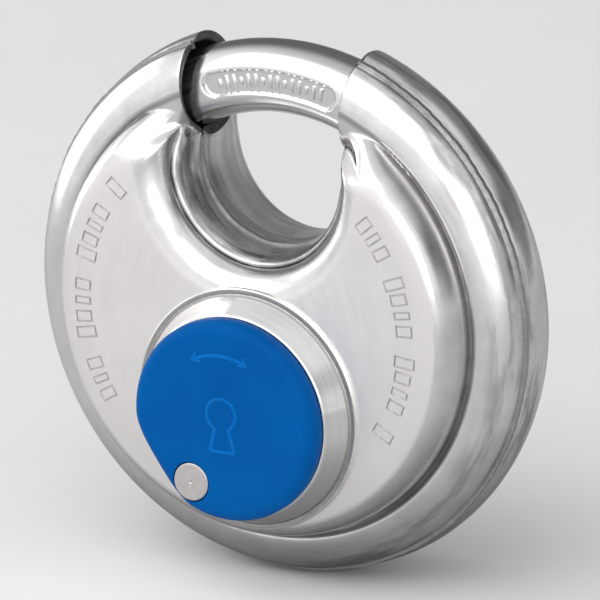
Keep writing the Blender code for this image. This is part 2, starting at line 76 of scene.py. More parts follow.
# ---- sizes from the frame ----
FACE = (span("rear_shell", 1, 1) - span("front_shell", 1, 0)) / 2
MIDDLE_Y = span("front_shell", 1, 0) + FACE
FLOOR_Z = span("rear_shell", 2, 0)
DISC_R = round(-FLOOR_Z, 1)
SEAM_FRONT = span("front_shell", 1, 1) - MIDDLE_Y
SEAM_BACK = span("rear_shell", 1, 0) - MIDDLE_Y
KEY_Z = (span("keyway_collar", 2, 0) + span("keyway_collar", 2, 1)) / 2
COVER_BACK = span("keyway_cover", 1, 1) - MIDDLE_Y
COVER_FRONT = span("keyway_cover", 1, 0) - MIDDLE_Y
RIVET_X = (span("cover_rivet", 0, 0) + span("cover_rivet", 0, 1)) / 2
RIVET_Z = (span("cover_rivet", 2, 0) + span("cover_rivet", 2, 1)) / 2
RIVET_HEAD_R = (span("cover_rivet", 0, 1) - span("cover_rivet", 0, 0)) / 2
RIVET_BACK = span("cover_rivet", 1, 1) - MIDDLE_Y
GEAR_Y = (span("drive_pinion", 1, 0) - MIDDLE_Y, span("drive_pinion", 1, 1) - MIDDLE_Y)
SHACKLE_ROD_R = (span("shackle", 1, 1) - span("shackle", 1, 0)) / 2

# ---- sizes of the pressed forms ----
WALL = 0.95              # thickness of the sheet, drawn a little thicker than in CAD
RIM_R = 24.7             # middle of the tubular rim
RIM_HALF_WIDTH = DISC_R - RIM_R
RIM_HALF_DEPTH = 5.8
CREASE_R = 24.5          # where the face's edge meets the rim
FILLET = 2.4             # how far the rounding of the face reaches
HOLE_Z = 15.8            # centre of the hole that the shackle crosses
HOLE_R = 9.0
BEAD_WIDTH = 1.6         # of the rounded bead that lines the hole
BEAD_DEPTH = 7.2
HOLE_FILLET = 3.5        # how far it reaches beside the hole
CORNER_BLEND = 1.4       # how softly the face ends between the rim and the hole, in fillets
GAP_HALF_WIDTH = 10.1    # half the opening between the two ends of the rim, at its top
RIM_GROOVE_WIDTH, RIM_GROOVE_DEPTH = 1.0, 0.75
RIM_GROOVE_FADE = (29, 9)   # degrees from the top where it begins, and over which it deepens
BEAD_GROOVE_WIDTH, BEAD_GROOVE_DEPTH = 0.7, 0.5
BEAD_GROOVE_FADE = (-3.0, 5.0)   # height over the hole's centre where it begins to fade, and over which
BEAD_FADE = (-2.0, 6.0)   # the same for the bead's depth, which becomes the rim's towards its ends
HORN_BEAD_DROP = 0.6     # how far below the rim the bead ends there
CORNER_KEEP = 0.5        # keeps the blend of rim and bead finite where the face narrows to nothing
LEAST_FACE = 0.8         # the least length of face and fillets along a rib
FILLET_SHARE, HOLE_FILLET_SHARE = 0.4, 0.58   # the most that each fillet takes of a narrow face
HORN_TUCK = 0.9          # how far the skin's two ends shift with the inset, so that the wall stays even
LINE_BUNCHING = 0.3      # how much the ribs crowd together towards the horns
RIB_SPAN = 230           # about the length round the skin from end to end
EDGE_REACH = 0.45        # width over which a sheet's cut edge is rounded
HORN_SHARE = 0.10        # the part of the skin at either end where the raised face grows out of a plain tube
BEAD_HORN_SHARE = 0.025  # the same for the bead that lines the hole
MARK_LINE, MARK_DEPTH = 0.2, 0.14   # of the engraved lines

SHACKLE_R = 24.45
SHACKLE_NOSE = -38.0     # degrees clockwise from the top
NOSE_ARC, NOSE_SWELL = 2.4, 0.55   # degrees of rounding, and the share of the radius it starts at
NOSE_STEPS = 8
SHACKLE_TAIL = 198.6
SHACKLE_TURN = 60.0
PANEL_HALF_ARC = 19.0
PANEL_R = 24.55
PANEL_HALF_WIDTH = 1.3
PANEL_DEPTH = 0.6
PANEL_SLOPE = 0.4        # width of its sloping edge
RACK_TEETH = 43          # on the shackle's whole circle; only the tail has them
PINION_REACH = 32.0      # degrees of rack past the pinion's place
PRESSURE_ANGLE = 20.0

COLLAR_BORE = 5.9
COLLAR_TOP = -13.3
COLLAR_TOP_R, COLLAR_FOOT_R, FLANGE_R = 10.9, 12.45, 13.32
COLLAR_GROOVE = (12.5, 13.15)   # where the dull groove at its foot begins and ends, from the axis
SPIGOT_R = 11.4
COVER_R = 11.0
COVER_FLAT = 10.2        # from the axis to its flat side, which lies at this angle clockwise
COVER_FLAT_ANGLE = 236.0
COVER_CORNER = 1.1       # how softly the flat runs into the round
COVER_EDGE = 1.35        # radius of its rounded front edge
RIVET_SHANK_R, RIVET_SHANK_HOLE, RIVET_TAIL_R = 1.2, 1.25, 1.9
RIVET_HEAD_HEIGHT = 0.8
HEAD_CLEARANCE, HEAD_SINK = 0.12, 0.05   # of the recess in the cover, round and under the head


# ---- mesh helpers ----
def finish_mesh(name, bm, materials, body, replaced=(), angle=35):
    """Makes a piece from a bmesh in millimetres about the disc's middle, and hangs it on its body."""
    for v in bm.verts:
        v.co = Vector((v.co.x * MM, (v.co.y + MIDDLE_Y) * MM, v.co.z * MM))
    bmesh.ops.remove_doubles(bm, verts=bm.verts, dist=1e-7)
    bmesh.ops.dissolve_degenerate(bm, edges=bm.edges, dist=1e-8)
    bmesh.ops.recalc_face_normals(bm, faces=bm.faces)
    mesh = bpy.data.meshes.new(name)
    bm.to_mesh(mesh)
    bm.free()
    for one in materials:
        mesh.materials.append(one)
    piece = bpy.data.objects.new(name, mesh)
    bpy.context.scene.collection.objects.link(piece)
    mesh.shade_smooth()
    mesh.set_sharp_from_angle(angle=math.radians(angle))
    if body:
        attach(piece, body)
    if replaced:
        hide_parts(*replaced)
    return piece


def carve(piece, bm, look=None, angle=35):
    """Cuts a piece with a bmesh in millimetres. The cut takes look, one of the piece's materials."""
    tool = finish_mesh("tool", bm, [look] if look else [], None)
    tool.parent = piece.parent
    step = piece.modifiers.new("step", "BOOLEAN")
    step.operation = "DIFFERENCE"
    step.solver = "EXACT"
    step.object = tool
    bpy.context.view_layer.update()
    graph = bpy.context.evaluated_depsgraph_get()
    result = bpy.data.meshes.new_from_object(piece.evaluated_get(graph))
    piece.modifiers.clear()
    piece.data = result
    result.shade_smooth()
    result.set_sharp_from_angle(angle=math.radians(angle))
    bpy.data.objects.remove(tool)
    return piece


def clockwise(angle):
    """The unit (x, z) direction at this many degrees clockwise from the top, seen from the front."""
    a = math.radians(angle)
    return math.sin(a), math.cos(a)


def skin_grid(bm, rows, closed_across=False, closed_along=False, end_rows=0):
    """Quads between rows of vertices of equal length. The first and last end_rows take material 1."""
    count = len(rows[0])
    for i in range(len(rows) if closed_along else len(rows) - 1):
        row, other = rows[i], rows[(i + 1) % len(rows)]
        for k in range(count if closed_across else count - 1):
            j = (k + 1) % count
            face = bm.faces.new([row[k], row[j], other[j], other[k]])
            face.material_index = int(max(0, min(i, len(rows) - 2 - i)) < end_rows)


def turned(profile, centre, steps=128):
    """A solid of revolution about Y through centre (x, z), from a closed loop of (r, y)."""
    bm = bmesh.new()
    rows = []
    for i in range(steps):
        a = TURN * i / steps
        x, z = math.cos(a), math.sin(a)
        rows.append([bm.verts.new((centre[0] + r * x, y, centre[1] + r * z)) for r, y in profile])
    skin_grid(bm, rows, closed_along=True)
    if profile[0][0] > 1e-6:
        for i in range(steps):
            row, other = rows[i], rows[(i + 1) % steps]
            bm.faces.new([row[-1], row[0], other[0], other[-1]])
    bmesh.ops.remove_doubles(bm, verts=bm.verts, dist=1e-5)
    return bm


def corner(centre, radius, start, end, steps=6):
    """Points (r, y) on a small arc of a profile, angles in degrees from +r towards +y."""
    angles = [math.radians(start + (end - start) * i / steps) for i in range(steps + 1)]
    return [(centre[0] + radius * math.cos(a), centre[1] + radius * math.sin(a)) for a in angles]


def prism(outline, low, high, bm=None):
    """An outline of (x, z) points, extruded along Y from low to high."""
    bm = bm or bmesh.new()
    front = [bm.verts.new((x, low, z)) for x, z in outline]
    back = [bm.verts.new((x, high, z)) for x, z in outline]
    bm.faces.new(front)
    bm.faces.new(back)
    for k in range(len(outline)):
        j = (k + 1) % len(outline)
        bm.faces.new([front[k], front[j], back[j], back[k]])
    return bm


def circle(radius, centre, steps=96):
    angles = [TURN * i / steps for i in range(steps)]
    return [(centre[0] + radius * math.cos(a), centre[1] + radius * math.sin(a)) for a in angles]


def arc(radius, centre_z, start, end, count):
    """Points (x, z) about (0, centre_z), from start to end in degrees clockwise from the top."""
    directions = [clockwise(a) for a in np.linspace(start, end, count)]
    return [(radius * x, centre_z + radius * z) for x, z in directions]


# ---- the pressed skin of the disc ----
def soft_min(a, b, reach):
    return min(a, b) - max(reach - abs(a - b), 0.0) ** 2 / (4 * reach)


def ease(x):
    x = min(1.0, max(0.0, x))
    return x * x * (3 - 2 * x)


def quarter(x):
    """Rises from 0 at 0 to 1 at 1 like a quarter of an ellipse."""
    x = min(1.0, max(0.0, x))
    return math.sqrt(1 - (1 - x) ** 2)


def bead_depth(x, z, inset):
    """How deep the bead that lines the hole stands from the middle plane near (x, z)."""
    from_rim = CREASE_R - inset - math.hypot(x, z)
    from_hole = math.hypot(x, z - HOLE_Z) - HOLE_R - BEAD_WIDTH - inset
    share = max(from_rim, 0.0) / (max(from_rim, 0.0) + max(from_hole, 0.0) + CORNER_KEEP)
    near_horn = ease((z - HOLE_Z - BEAD_FADE[0]) / BEAD_FADE[1])
    bulge = BEAD_DEPTH + (RIM_HALF_DEPTH - HORN_BEAD_DROP - BEAD_DEPTH) * near_horn
    return RIM_HALF_DEPTH + (bulge - RIM_HALF_DEPTH) * share - inset


def rim_groove(x, z, inset):
    """How far the groove between the face and the rim dips under the rim's round form at (x, z)."""
    from_top = math.degrees(math.atan2(abs(x), z))
    dip = 1 - quarter((math.hypot(x, z) - CREASE_R + inset) / RIM_GROOVE_WIDTH)
    return RIM_GROOVE_DEPTH * dip * ease((from_top - RIM_GROOVE_FADE[0]) / RIM_GROOVE_FADE[1])


def bead_groove(x, z, inset):
    """The same between the face and the bead that lines the hole."""
    dip = 1 - quarter((HOLE_R + BEAD_WIDTH + inset - math.hypot(x, z - HOLE_Z)) / BEAD_GROOVE_WIDTH)
    fade = ease((z - HOLE_Z - BEAD_GROOVE_FADE[0]) / BEAD_GROOVE_FADE[1])
    return BEAD_GROOVE_DEPTH * dip * (1 - fade)


def rim_form(x, z, inset):
    """The round form of the rim tube over (x, z)."""
    across = (math.hypot(x, z) - RIM_R) / (RIM_HALF_WIDTH - inset)
    return (RIM_HALF_DEPTH - inset) * math.sqrt(max(0.0, 1 - across * across))


def skin_height(x, z, inset):
    """Distance from the middle plane to the skin over (x, z). inset shrinks the whole form by that much."""
    d = math.hypot(x, z - HOLE_Z)
    rim = rim_form(x, z, inset) - rim_groove(x, z, inset)
    from_rim = CREASE_R - inset - math.hypot(x, z)
    if from_rim <= 0:
        return rim
    from_hole = d - HOLE_R - BEAD_WIDTH - inset
    wall = bead_depth(x, z, inset) * quarter((d - HOLE_R - inset) / BEAD_WIDTH) - bead_groove(x, z, inset)
    base = max(rim, wall)
    inside = soft_min(from_rim / FILLET, from_hole / HOLE_FILLET, CORNER_BLEND)
    return base + (FACE - inset - base) * quarter(inside)


def line_crossing(start, end, centre_z, radius):
    """How far along a line from start it first meets a circle about (0, centre_z)."""
    length = math.dist(start, end)
    ux, uz = (end[0] - start[0]) / length, (end[1] - start[1]) / length
    ox, oz = start[0], start[1] - centre_z
    b = ox * ux + oz * uz
    return -b - math.sqrt(max(0.0, b * b - ox * ox - oz * oz + radius * radius))


RIM_STEPS, GROOVE_STEPS, FILLET_STEPS, FLAT_STEPS, BEAD_STEPS = 22, 7, 14, 5, 12
EDGE_STEPS = 5


def stations():
    """The points of a rib in order, as (zone, share of the zone); a share of 1 is the zone's end."""
    made = [("rim", k / RIM_STEPS) for k in range(RIM_STEPS + 1)]
    made += [("rim_groove", k / GROOVE_STEPS) for k in range(1, GROOVE_STEPS + 1)]
    made += [("rim_fillet", k / FILLET_STEPS) for k in range(1, FILLET_STEPS + 1)]
    made += [("flat", k / FLAT_STEPS) for k in range(1, FLAT_STEPS)]
    made += [("hole_fillet", 1 - k / FILLET_STEPS) for k in range(FILLET_STEPS + 1)]
    made += [("bead_groove", k / GROOVE_STEPS) for k in range(1, GROOVE_STEPS + 1)]
    made += [("bead", 1 - k / BEAD_STEPS) for k in range(1, BEAD_STEPS + 1)]
    return made


def rib(share, side, inset_at):
    """One line of the skin from the seam on the rim to the seam in the hole, as points (x, y, z).

    share runs from 0 at the right end of the rim to 1 at the left end. side is -1 for the front.
    inset_at(k, last) gives how far point k of last lies inside the outer form.
    """
    seam = SEAM_FRONT if side < 0 else SEAM_BACK
    rim_start = math.asin(seam * side / RIM_HALF_DEPTH)
    rim_end = math.acos((CREASE_R + RIM_GROOVE_WIDTH - RIM_R) / RIM_HALF_WIDTH)
    bead_start = math.asin(seam * side / BEAD_DEPTH)
    bead_end = math.acos(BEAD_GROOVE_WIDTH / BEAD_WIDTH)
    from_horn = min(share, 1 - share)
    listed = stations()
    last = len(listed) - 1
    points = []
    for k, (zone, part_of) in enumerate(listed):
        inset = inset_at(k, last)
        outer_r, inner_r = DISC_R - inset, HOLE_R + inset
        tube_r = RIM_R - RIM_HALF_WIDTH + inset
        end_z = (tube_r**2 - inner_r**2 + HOLE_Z**2) / (2 * HOLE_Z)
        end_x = math.sqrt(tube_r**2 - end_z**2) - HORN_TUCK * inset
        hole_start = math.degrees(math.atan2(end_x, end_z - HOLE_Z))
        outer_start = math.degrees(math.asin(GAP_HALF_WIDTH / outer_r))
        a = outer_start + (360 - 2 * outer_start) * share
        b = hole_start + (360 - 2 * hole_start) * share
        start = (outer_r * clockwise(a)[0], outer_r * clockwise(a)[1])
        end = (inner_r * clockwise(b)[0], HOLE_Z + inner_r * clockwise(b)[1])
        length = math.dist(start, end)

        def at_radius(radius):
            return line_crossing(start, end, 0, radius)

        crease = at_radius(CREASE_R - inset)
        bead = line_crossing(start, end, HOLE_Z, inner_r + BEAD_WIDTH)
        bead = min(max(bead, crease + LEAST_FACE), length - LEAST_FACE)
        reach = min(FILLET, FILLET_SHARE * (bead - crease))
        hole_reach = min(HOLE_FILLET, HOLE_FILLET_SHARE * (bead - crease))
        horn_share = HORN_SHARE
        signed = None
        if zone == "rim":
            angle = rim_start + (rim_end - rim_start) * part_of
            along = at_radius(RIM_R + (RIM_HALF_WIDTH - inset) * math.cos(angle))
            signed = math.sin(angle)
        elif zone == "rim_groove":
            width = RIM_GROOVE_WIDTH * (1 - math.sin(math.pi / 2 * part_of))
            along = crease if part_of == 1 else at_radius(CREASE_R - inset + width)
        elif zone == "rim_fillet":
            along = crease + reach * (1 - math.cos(math.pi / 2 * part_of))
        elif zone == "flat":
            along = crease + reach + (bead - crease - reach - hole_reach) * part_of
        elif zone == "hole_fillet":
            along = bead - hole_reach * (1 - math.cos(math.pi / 2 * part_of))
            horn_share = HORN_SHARE + (BEAD_HORN_SHARE - HORN_SHARE) * ease(1 - part_of)
        else:
            horn_share = BEAD_HORN_SHARE
            left = length - bead
            groove = left * BEAD_GROOVE_WIDTH / BEAD_WIDTH
            if zone == "bead_groove":
                along = bead + groove * (1 - math.cos(math.pi / 2 * part_of))
            else:
                angle = bead_start + (bead_end - bead_start) * part_of
                along = length - (left - groove) * (1 - math.cos(angle)) / (1 - math.cos(bead_end))
                signed = math.sin(angle)

        def place(distance):
            return tuple(start[n] + (end[n] - start[n]) * distance / length for n in (0, 1))

        x, z = place(along)
        y = skin_height(x, z, inset)
        if zone == "rim":
            y = (RIM_HALF_DEPTH - inset) * signed - rim_groove(x, z, inset)
        elif zone == "bead" and part_of < 1:
            form = bead_depth(x, z, inset) * abs(signed) - bead_groove(x, z, inset)
            y = math.copysign(max(form, rim_form(x, z, inset) * min(1.0, abs(signed) * 3)), signed)
        tube_like = 1 - ease(from_horn / horn_share)
        if zone != "rim" and tube_like > 0:
            angle = rim_end + (math.pi - rim_start - rim_end) * (k - RIM_STEPS) / (last - RIM_STEPS)
            middle = at_radius(RIM_R)
            out = math.cos(angle)
            if out > 0:
                tube_along = at_radius(RIM_R + (RIM_HALF_WIDTH - inset) * out)
            else:
                tube_along = middle - (length - middle) * out
            tube_x, tube_z = place(tube_along)
            x, z = x + (tube_x - x) * tube_like, z + (tube_z - z) * tube_like
            y += ((RIM_HALF_DEPTH - inset) * math.sin(angle) - y) * tube_like
        points.append((x, side * y, z))
    return points


def soften(points, middle, reach, times):
    """Rounds the corner of a line of points about index middle."""
    for _ in range(times):
        moved = list(points)
        for k in range(middle - reach, middle + reach + 1):
            moved[k] = tuple(points[k][n] / 2 + (points[k - 1][n] + points[k + 1][n]) / 4 for n in range(3))
        points = moved
    return points


def shell_mesh(side, ribs):
    """A closed pressed half of the disc with rounded cut edges."""
    half_wall = WALL / 2
    low = EDGE_REACH / RIB_SPAN
    near_end = [low * (1 - math.cos(math.pi / 2 * j / EDGE_STEPS)) for j in range(EDGE_STEPS)]
    shares = list(near_end)
    for i in range(ribs + 1):
        even = i / ribs
        shares.append(low + (1 - 2 * low) * (even - LINE_BUNCHING * math.sin(TURN * even) / TURN))
    shares += [1 - s for s in reversed(near_end)]

    def rounding(j):
        return half_wall * (1 - math.sin(math.pi / 2 * min(1.0, j / EDGE_STEPS)))

    bm = bmesh.new()
    rows = []
    for j, share in enumerate(shares):
        at_end = rounding(min(j, len(shares) - 1 - j))

        def outer_inset(k, last):
            return max(at_end, rounding(min(k, last - k)))

        def inner_inset(k, last):
            return WALL - outer_inset(k, last)

        outer = soften(rib(share, side, outer_inset), RIM_STEPS + GROOVE_STEPS, reach=4, times=4)
        inner = rib(share, side, inner_inset)
        rows.append([bm.verts.new(p) for p in outer + inner[::-1]])
    skin_grid(bm, rows, closed_across=True, end_rows=EDGE_STEPS)
    bmesh.ops.remove_doubles(bm, verts=bm.verts, dist=1e-4)
    return bm


# ---- materials ----
class Look:
    """A material being built out of nodes."""

    def __init__(self, name):
        self.made = bpy.data.materials.new(name)
        self.made.use_nodes = True
        self.tree = self.made.node_tree
        self.shader = self.tree.nodes["Principled BSDF"]
        self.place = self.add("ShaderNodeTexCoord").outputs["Object"]

    def add(self, kind, **settings):
        node = self.tree.nodes.new(kind)
        for name, value in settings.items():
            setattr(node, name, value)
        return node

    def feed(self, value, socket):
        if isinstance(value, bpy.types.NodeSocket):
            self.tree.links.new(value, socket)
        else:
            socket.default_value = value

    def math(self, operation, *values):
        node = self.add("ShaderNodeMath", operation=operation)
        for value, socket in zip(values, node.inputs):
            self.feed(value, socket)
        return node.outputs[0]

    def noise(self, scale, detail=3.0, stretch=(1, 1, 1), place=None, roughness=0.55):
        """A noise pattern whose features are about 1/scale metres across, stretched along the given axes."""
        mapping = self.add("ShaderNodeMapping")
        mapping.inputs["Scale"].default_value = stretch
        self.feed(place or self.place, mapping.inputs["Vector"])
        node = self.add("ShaderNodeTexNoise")
        node.inputs["Scale"].default_value = scale
        node.inputs["Detail"].default_value = detail
        node.inputs["Roughness"].default_value = roughness
        self.feed(mapping.outputs[0], node.inputs["Vector"])
        return node.outputs["Fac"]

    def remap(self, value, low, high, out_low, out_high, smooth=False):
        node = self.add("ShaderNodeMapRange", interpolation_type="SMOOTHSTEP" if smooth else "LINEAR")
        for socket, number in zip(node.inputs, (value, low, high, out_low, out_high)):
            self.feed(number, socket)
        return node.outputs[0]

    def mix(self, share, first, second):
        node = self.add("ShaderNodeMix", data_type="RGBA")
        self.feed(share, node.inputs["Factor"])
        self.feed((*first, 1) if isinstance(first, tuple) else first, node.inputs["A"])
        self.feed((*second, 1) if isinstance(second, tuple) else second, node.inputs["B"])
        return node.outputs["Result"]

    def bump(self, height, strength, distance=0.0001, normal=None):
        node = self.add("ShaderNodeBump")
        node.inputs["Strength"].default_value = strength
        node.inputs["Distance"].default_value = distance
        self.feed(height, node.inputs["Height"])
        if normal:
            self.feed(normal, node.inputs["Normal"])
        return node.outputs[0]

    def round_about(self, centre):
        """(distance, angle, place along the axis) about a Y axis through centre (x, z) in millimetres."""
        split = self.add("ShaderNodeSeparateXYZ")
        self.feed(self.place, split.inputs[0])
        x = self.math("SUBTRACT", split.outputs[0], centre[0] * MM)
        z = self.math("SUBTRACT", split.outputs[2], centre[1] * MM)
        squares = self.math("ADD", self.math("MULTIPLY", x, x), self.math("MULTIPLY", z, z))
        return self.math("SQRT", squares), self.math("ARCTAN2", x, z), split.outputs[1]

    def along_rings(self, centre, around):
        """Coordinates in which brushing that runs round an axis is a straight stripe."""
        distance, angle, depth = self.round_about(centre)
        joined = self.add("ShaderNodeCombineXYZ")
        self.feed(distance, joined.inputs[0])
        self.feed(depth, joined.inputs[1])
        self.feed(self.math("MULTIPLY", angle, around), joined.inputs[2])
        return joined.outputs[0]

    def finish(self, colour, roughness, metallic, normal=None):
        self.feed(colour, self.shader.inputs["Base Color"])
        self.feed(roughness, self.shader.inputs["Roughness"])
        self.shader.inputs["Metallic"].default_value = metallic
        if normal:
            self.feed(normal, self.shader.inputs["Normal"])
        return self.made


def pressed_steel():
    """Stainless sheet: satin faces, a rim polished round the disc, and a hole wall with dark streaks, partly
    draw marks and partly painted dark reflection.
    """
    look = Look("pressed_stainless")
    # where the flat face, the rim and the hole's wall are
    split = look.add("ShaderNodeSeparateXYZ")
    look.feed(look.place, split.inputs[0])
    from_middle = look.math("ABSOLUTE", look.math("SUBTRACT", split.outputs[1], MIDDLE_Y * MM))
    flat = look.remap(from_middle, (FACE - 0.25) * MM, (FACE - 0.02) * MM, 0.0, 1.0, smooth=True)
    from_centre, _, _ = look.round_about((0, 0))
    rim = look.remap(from_centre, (RIM_R + 0.5) * MM, (DISC_R - 1.0) * MM, 0.0, 1.0, smooth=True)
    from_hole, _, _ = look.round_about((0, HOLE_Z))
    wall = look.remap(from_hole, (HOLE_R + 0.7) * MM, (HOLE_R + 1.8) * MM, 1.0, 0.0, smooth=True)
    # patterns: along_rings stretches them along the way that the sheet was pressed or brushed
    rings = look.along_rings((0, 0), 0.0012)
    streaks = look.noise(900, 4, place=rings)
    fine = look.noise(5200, 2, place=rings)
    rim_streak_pattern = look.noise(620, 5, place=look.along_rings((0, 0), 0.004), roughness=0.62)
    hole_streak_pattern = look.noise(800, 5, place=look.along_rings((0, HOLE_Z), 0.0012), roughness=0.6)
    cloud = look.noise(95, 4)
    stain = look.noise(330, 5, (1, 0.4, 1))
    grain = look.noise(2600, 2)
    # roughness: satin on the face, and on the far side of the hole's wall
    rough = look.remap(streaks, 0.3, 0.75, 0.15, 0.25)
    rough = look.math("ADD", rough, look.remap(cloud, 0.45, 0.8, 0.0, 0.10))
    rough = look.math("ADD", rough, look.math("MULTIPLY", flat, look.remap(grain, 0.3, 0.7, 0.24, 0.32)))
    seam_low, seam_high = (MIDDLE_Y - 4) * MM, (MIDDLE_Y + 2) * MM
    matt = look.remap(split.outputs[1], seam_low, seam_high, 0.0, 0.28, smooth=True)
    rough = look.math("ADD", rough, look.math("MULTIPLY", wall, matt))
    # colour: scuffs on the rim, stronger towards the right as painted dark reflection; draw marks in the
    # hole, partly painted dark reflection; painted shade in the two grooves; and a clean pale face
    stained = look.remap(stain, 0.35, 0.72, 0.0, 1.0)
    colour = look.mix(stained, (0.84, 0.83, 0.82), (0.72, 0.71, 0.705))
    # painted dark reflection, mixed with wear: dark scuff marks on the rim, which is why they grow stronger
    # towards the right
    towards_right = look.remap(split.outputs[0], -5 * MM, 12 * MM, 0.2, 1.0, smooth=True)
    scuffs_and_painted_reflection = look.math("MULTIPLY", rim, look.remap(rim_streak_pattern, 0.46, 0.64, 0.0, 0.8, smooth=True))
    scuffs_and_painted_reflection = look.math("MULTIPLY", scuffs_and_painted_reflection, towards_right)
    colour = look.mix(scuffs_and_painted_reflection, colour, (0.34, 0.335, 0.33))
    # painted dark reflection, mixed with draw marks: dark streaks on the hole's wall, strongest towards the
    # front
    marks_and_painted_reflection = look.math("MULTIPLY", wall, look.remap(hole_streak_pattern, 0.36, 0.62, 0.0, 0.85, smooth=True))
    towards_rear = look.remap(split.outputs[1], seam_low, seam_high, 1.0, 0.35, smooth=True)
    marks_and_painted_reflection = look.math("MULTIPLY", marks_and_painted_reflection, towards_rear)
    colour = look.mix(marks_and_painted_reflection, colour, (0.22, 0.215, 0.21))
    # painted shade: the two grooves, between the face and the rim and round the hole's bead, are darkened
    # where shade falls in them
    low = look.remap(from_middle, (BEAD_DEPTH - 0.3) * MM, (BEAD_DEPTH + 0.5) * MM, 1.0, 0.0, smooth=True)
    by_hole = look.math("ABSOLUTE", look.math("SUBTRACT", from_hole, (HOLE_R + BEAD_WIDTH) * MM))
    by_rim = look.math("ABSOLUTE", look.math("SUBTRACT", from_centre, (CREASE_R + 0.25) * MM))
    crease_shade = look.remap(look.math("MINIMUM", by_hole, by_rim), 0.1 * MM, 0.6 * MM, 0.7, 0.0, smooth=True)
    crease_shade = look.math("MULTIPLY", look.math("MULTIPLY", crease_shade, low),
                        look.remap(streaks, 0.3, 0.6, 0.5, 1.0))
    colour = look.mix(crease_shade, colour, (0.20, 0.195, 0.19))
    colour = look.mix(flat, colour, (0.90, 0.878, 0.868))
    # bumps, from fine brushing to slow waves
    normal = look.bump(fine, 0.05, 0.00002)
    normal = look.bump(streaks, 0.12, 0.00008, normal)
    normal = look.bump(cloud, 0.08, 0.0006, normal)
    normal = look.bump(look.math("MULTIPLY", flat, grain), 0.12, 0.00004, normal)
    return look.finish(colour, rough, 1.0, normal)


def bent_rod_steel():
    """The shackle: bright, with marks that run along the rod, and darker on its outer side all along, partly
    wear where it rubs inside the rim and partly painted dark reflection.
    """
    look = Look("polished_rod")
    from_centre, _, _ = look.round_about((0, 0))
    rings = look.along_rings((0, 0), 0.002)
    streaks = look.noise(1500, 3, place=rings)
    cloud = look.noise(240, 3)
    rough = look.remap(streaks, 0.3, 0.7, 0.12, 0.20)
    rough = look.math("ADD", rough, look.remap(cloud, 0.4, 0.8, 0.0, 0.08))
    colour = look.mix(look.remap(cloud, 0.3, 0.7, 0.0, 1.0), (0.84, 0.835, 0.83), (0.77, 0.765, 0.76))
    # painted dark reflection, mixed with rubbing wear: the rod's outer side is darkened all along
    rubbing_and_painted_shade = look.remap(from_centre, (SHACKLE_R + 2.6) * MM, (SHACKLE_R + 3.8) * MM, 0.0, 0.8, smooth=True)
    rubbing_and_painted_shade = look.math("MULTIPLY", rubbing_and_painted_shade, look.remap(streaks, 0.3, 0.65, 0.7, 1.0))
    colour = look.mix(rubbing_and_painted_shade, colour, (0.42, 0.415, 0.41))
    return look.finish(colour, rough, 1.0, look.bump(streaks, 0.12, 0.00006))


def cut_edge():
    """The sheared and ground edge of the sheet: dark, coarse and scratched across."""
    look = Look("cut_edge")
    grain = look.noise(1500, 4, (1, 3, 1))
    colour = look.mix(look.remap(grain, 0.3, 0.75, 0.0, 1.0), (0.045, 0.045, 0.045), (0.27, 0.265, 0.26))
    rough = look.remap(grain, 0.3, 0.7, 0.35, 0.6)
    return look.finish(colour, rough, 1.0, look.bump(grain, 0.5, 0.00015))


def lathe_steel(name, centre, colour, rough_low, rough_high, pitch=0.00022, depth=0.3):
    """Metal with the fine rings that a lathe leaves about centre."""
    look = Look(name)
    distance, _, _ = look.round_about(centre)
    rings = look.math("SINE", look.math("MULTIPLY", distance, TURN / pitch))
    streaks = look.noise(1400, 3, place=look.along_rings(centre, 0.0008))
    cloud = look.noise(420, 3)
    tone = look.mix(look.remap(streaks, 0.3, 0.7, 0.0, 1.0), colour, tuple(0.86 * c for c in colour))
    rough = look.remap(streaks, 0.3, 0.7, rough_low, rough_high)
    rough = look.math("ADD", rough, look.remap(cloud, 0.5, 0.8, 0, 0.08))
    normal = look.bump(rings, depth, 0.00001)
    normal = look.bump(streaks, 0.15, 0.00005, normal)
    return look.finish(tone, rough, 1.0, normal)


def blue_plastic(name, dark, light):
    """Moulded satin plastic with a faint eggshell grain."""
    look = Look(name)
    grain = look.noise(2300, 2)
    cloud = look.noise(130, 3)
    colour = look.mix(look.remap(cloud, 0.3, 0.7, 0.0, 1.0), dark, light)
    rough = look.math("ADD", look.remap(grain, 0.3, 0.7, 0.36, 0.44), look.remap(cloud, 0.4, 0.8, 0.0, 0.05))
    look.shader.inputs["Specular IOR Level"].default_value = 0.03
    return look.finish(colour, rough, 0.0, look.bump(grain, 0.12, 0.00005))


def machined(name, colour, rough_low, rough_high, scale=900):
    """Plain metal with a slightly uneven, ground surface."""
    look = Look(name)
    grain = look.noise(scale, 4, (1, 2, 1))
    tone = look.mix(look.remap(grain, 0.3, 0.7, 0.0, 1.0), colour, tuple(0.8 * c for c in colour))
    rough = look.remap(grain, 0.3, 0.7, rough_low, rough_high)
    return look.finish(tone, rough, 1.0, look.bump(grain, 0.2, 0.00006))


